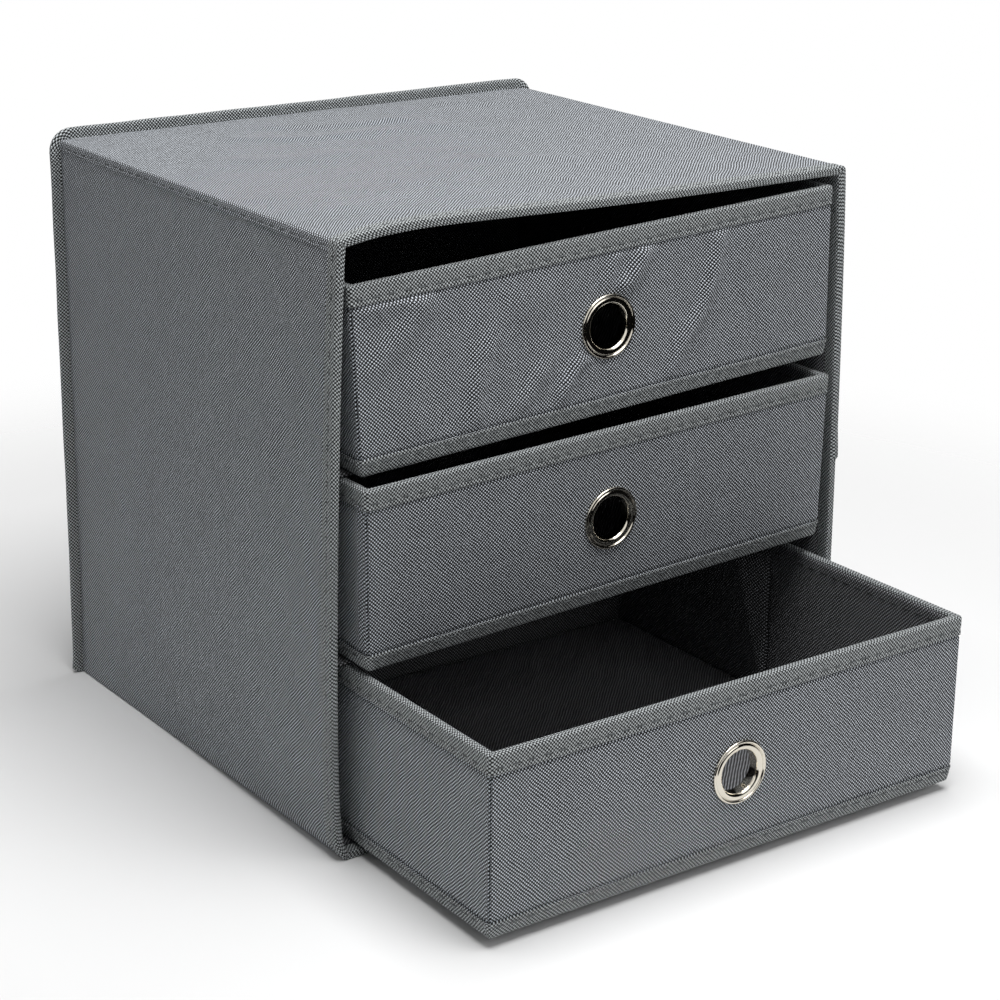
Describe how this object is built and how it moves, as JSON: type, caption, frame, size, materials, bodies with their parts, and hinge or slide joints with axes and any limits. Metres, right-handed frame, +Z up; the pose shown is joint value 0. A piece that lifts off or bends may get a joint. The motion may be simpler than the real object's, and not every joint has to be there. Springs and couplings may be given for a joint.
{
  "type": "fabric drawer chest",
  "caption": "Small collapsible cube chest of dark grey fabric over board, with stacked pull-out fabric drawers that each have a metal eyelet as finger pull.",
  "frame": {"origin": "middle of the cabinet's footprint, on the floor", "axes": "+Z up, +X to the right of someone facing the drawers, -Y the way the drawers pull out"},
  "size_m": [0.322, 0.3977, 0.316],
  "materials": {
    "body_fabric": "dark grey embossed non-woven polypropylene",
    "tape_fabric": "dark grey coarse non-woven binding tape",
    "lining_fabric": "near-black non-woven lining",
    "grey_board": "unfinished grey board",
    "nickel": "polished nickel-plated steel"
  },
  "bodies": {
    "cabinet": {"back_cover": "body_fabric", "back_welt": "tape_fabric", "base_board": "grey_board", "cabinet_lining": "lining_fabric", "left_lower_board": "grey_board", "left_upper_board": "grey_board", "middle_shelf": "lining_fabric", "mouth_tape": "tape_fabric", "right_lower_board": "grey_board", "right_upper_board": "grey_board", "top_board": "grey_board", "top_cover": "body_fabric", "top_shelf": "lining_fabric", "wrap_cover": "body_fabric"},
    "bottom_drawer": {"bottom_drawer_back_board": "grey_board", "bottom_drawer_base_tape": "tape_fabric", "bottom_drawer_cover": "body_fabric", "bottom_drawer_eyelet": "nickel", "bottom_drawer_eyelet_washer": "nickel", "bottom_drawer_floor": "lining_fabric", "bottom_drawer_front_board": "grey_board", "bottom_drawer_insert_board": "grey_board", "bottom_drawer_insert_sleeve": "lining_fabric", "bottom_drawer_left_front_board": "grey_board", "bottom_drawer_left_rear_board": "grey_board", "bottom_drawer_lining": "lining_fabric", "bottom_drawer_right_front_board": "grey_board", "bottom_drawer_right_rear_board": "grey_board", "bottom_drawer_rim_tape": "tape_fabric"},
    "middle_drawer": {"middle_drawer_back_board": "grey_board", "middle_drawer_base_tape": "tape_fabric", "middle_drawer_cover": "body_fabric", "middle_drawer_eyelet": "nickel", "middle_drawer_eyelet_washer": "nickel", "middle_drawer_floor": "lining_fabric", "middle_drawer_front_board": "grey_board", "middle_drawer_insert_board": "grey_board", "middle_drawer_insert_sleeve": "lining_fabric", "middle_drawer_left_front_board": "grey_board", "middle_drawer_left_rear_board": "grey_board", "middle_drawer_lining": "lining_fabric", "middle_drawer_right_front_board": "grey_board", "middle_drawer_right_rear_board": "grey_board", "middle_drawer_rim_tape": "tape_fabric"},
    "top_drawer": {"top_drawer_back_board": "grey_board", "top_drawer_base_tape": "tape_fabric", "top_drawer_cover": "body_fabric", "top_drawer_eyelet": "nickel", "top_drawer_eyelet_washer": "nickel", "top_drawer_floor": "lining_fabric", "top_drawer_front_board": "grey_board", "top_drawer_insert_board": "grey_board", "top_drawer_insert_sleeve": "lining_fabric", "top_drawer_left_front_board": "grey_board", "top_drawer_left_rear_board": "grey_board", "top_drawer_lining": "lining_fabric", "top_drawer_right_front_board": "grey_board", "top_drawer_right_rear_board": "grey_board", "top_drawer_rim_tape": "tape_fabric"}
  },
  "joints": [
    {"name": "bottom_drawer_slide", "type": "slide", "parent": "cabinet", "child": "bottom_drawer", "axis": [0, -1, 0], "range_m": [-0.1124, 0.139]},
    {"name": "middle_drawer_slide", "type": "slide", "parent": "cabinet", "child": "middle_drawer", "axis": [0, -1, 0], "range_m": [-0.0114, 0.24]},
    {"name": "top_drawer_slide", "type": "slide", "parent": "cabinet", "child": "top_drawer", "axis": [0, -1, 0], "range_m": [-0.002, 0.2494]}
  ]
}
